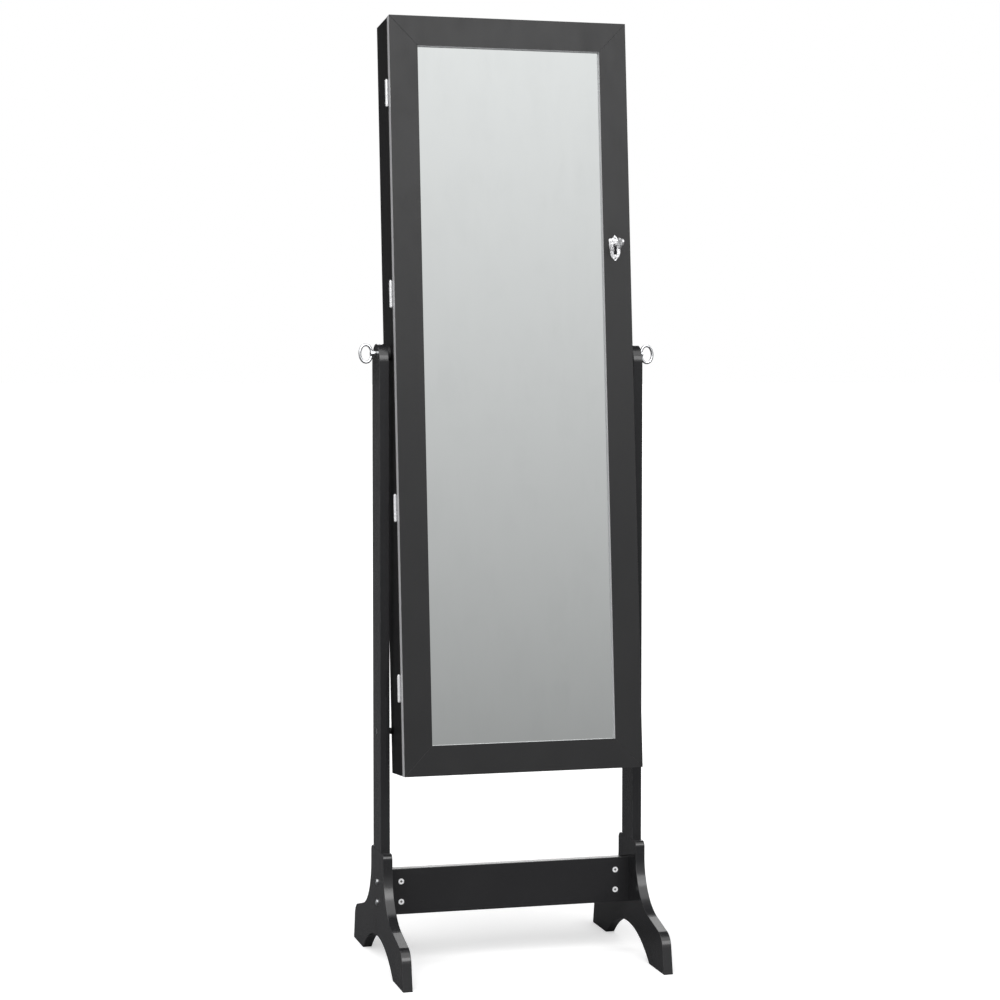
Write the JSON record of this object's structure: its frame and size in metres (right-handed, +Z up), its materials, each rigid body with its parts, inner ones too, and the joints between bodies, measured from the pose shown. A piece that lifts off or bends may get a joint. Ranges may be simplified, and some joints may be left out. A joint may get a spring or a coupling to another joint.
{
  "type": "jewelry armoire",
  "caption": "Shallow jewelry cabinet with a full-length mirrored door, hung between two posts on arched foot boards and leaning back against stop pegs.",
  "frame": {"origin": "on the floor, midway between the posts and midway along the foot boards", "axes": "+Z up, front towards -Y, +X towards the lock side"},
  "size_m": [0.478, 0.368, 1.47],
  "materials": {
    "lacquer": "semi-gloss black lacquer",
    "box_lacquer": "satin black lacquer",
    "dowel_wood": "bare",
    "zinc_steel": "bright zinc",
    "black_nylon": "matte",
    "chrome": "polished",
    "velvet": "short pile",
    "inner_board": "satin black",
    "hardboard": "bare",
    "mirror": "polished",
    "clear_rubber": "translucent"
  },
  "bodies": {
    "stand": {"left_foot_board": "lacquer", "right_foot_board": "lacquer", "left_post": "lacquer", "right_post": "lacquer", "post_dowels": "dowel_wood", "stretcher_board": "lacquer", "stretcher_bolts": "zinc_steel", "barrel_nuts": "zinc_steel", "stop_pegs": "black_nylon", "stop_peg_screws": "zinc_steel", "pivot_bushes": "black_nylon"},
    "cabinet": {"left_side_panel": "box_lacquer", "right_side_panel": "box_lacquer", "top_panel": "box_lacquer", "bottom_panel": "box_lacquer", "back_panel": "box_lacquer", "back_linings": "velvet", "shelf_boards": "inner_board", "shelf_linings": "velvet", "shelf_rails": "inner_board", "bin_front": "inner_board", "ring_rolls": "velvet", "earring_bars": "inner_board", "hook_rail": "inner_board", "necklace_hooks": "chrome", "bracelet_rod": "inner_board", "rod_sockets": "inner_board", "pivot_inserts": "zinc_steel", "strike_plate": "zinc_steel", "door_bumpers": "clear_rubber", "magnet_catch": "black_nylon", "cabinet_hinge_leaves": "chrome", "hinge_pins": "chrome", "cabinet_hinge_screws": "zinc_steel"},
    "door": {"left_stile": "lacquer", "right_stile": "lacquer", "top_rail": "lacquer", "bottom_rail": "lacquer", "mirror_glass": "mirror", "mirror_backing": "hardboard", "door_lining": "velvet", "door_hook_rail": "inner_board", "door_hooks": "chrome", "door_hinge_leaves": "chrome", "door_hinge_screws": "zinc_steel", "magnet_plate": "zinc_steel", "lock_case": "zinc_steel", "lock_screws": "zinc_steel", "escutcheon": "chrome", "escutcheon_pins": "chrome"},
    "lock_plug": {"lock_plug": "zinc_steel", "lock_cam": "zinc_steel", "cam_screw": "zinc_steel"},
    "key": {"key": "chrome"},
    "left_ring_bolt": {"left_ring_bolt": "chrome"},
    "right_ring_bolt": {"right_ring_bolt": "chrome"}
  },
  "joints": [
    {"name": "cabinet_tilt", "type": "hinge", "parent": "stand", "child": "cabinet", "pos_m": [0, 0, 0.951], "axis": [-1, 0, 0], "range_deg": [0, 10]},
    {"name": "door_hinge", "type": "hinge", "parent": "cabinet", "child": "door", "pos_m": [-0.1925, -0.02889, 0.95349], "axis": [0, -0.0858, -0.9963], "range_deg": [0, 100]},
    {"name": "lock_turn", "type": "hinge", "parent": "door", "child": "lock_plug", "pos_m": [0.1645, -0.0156, 1.11946], "axis": [0, -0.9963, 0.0858], "range_deg": [0, 90]},
    {"name": "key_slide", "type": "slide", "parent": "lock_plug", "child": "key", "axis": [0, -0.9963, 0.0858], "range_m": [0, 0.03]},
    {"name": "left_ring_turn", "type": "hinge", "parent": "cabinet", "child": "left_ring_bolt", "pos_m": [-0.2275, 0, 0.951], "axis": [1, 0, 0], "continuous": true},
    {"name": "right_ring_turn", "type": "hinge", "parent": "cabinet", "child": "right_ring_bolt", "pos_m": [0.2275, 0, 0.951], "axis": [1, 0, 0], "continuous": true}
  ]
}
